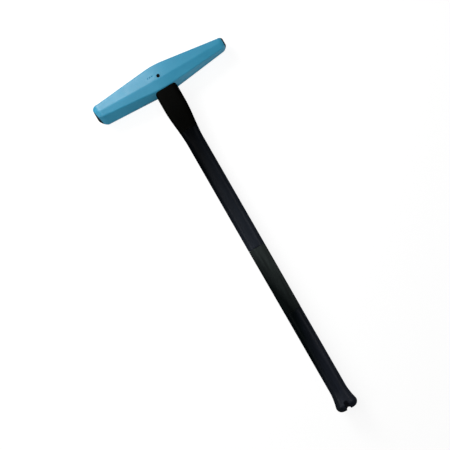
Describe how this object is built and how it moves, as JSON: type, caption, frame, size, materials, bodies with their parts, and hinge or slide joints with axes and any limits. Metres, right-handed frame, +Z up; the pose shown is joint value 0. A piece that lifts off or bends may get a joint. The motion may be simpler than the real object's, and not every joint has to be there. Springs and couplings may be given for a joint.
{
  "type": "post driver",
  "caption": "Post-driving maul: a long eight-sided tapered steel head with one large and one small striking face, on a jacketed fibreglass handle with a guard, a grip and a slotted butt.",
  "frame": {"origin": "on the surface that the tool lies on, under the middle of its length and of its head's length", "axes": "+X along the head towards its small face, +Y along the handle from the butt to the head, +Z up through the tool's thickness"},
  "size_m": [0.3372, 0.8999, 0.058],
  "materials": {
    "head": "satin light-blue enamel over forged steel, with bare dark steel striking faces",
    "resin": "black epoxy, poured and set",
    "core": "pultruded glass fibre in resin",
    "pin": "blackened steel",
    "guard": "matt black elastomer",
    "jacket": "smooth black polypropylene with a soft gloss",
    "grip": "fine-grained grey-black elastomer"
  },
  "bodies": {
    "root": {"head": "head", "eye_resin": "resin", "handle_core": "core", "retaining_pin": "pin", "strike_guard": "guard", "upper_jacket": "jacket", "mid_grip": "grip", "lower_jacket": "jacket"}
  },
  "joints": []
}
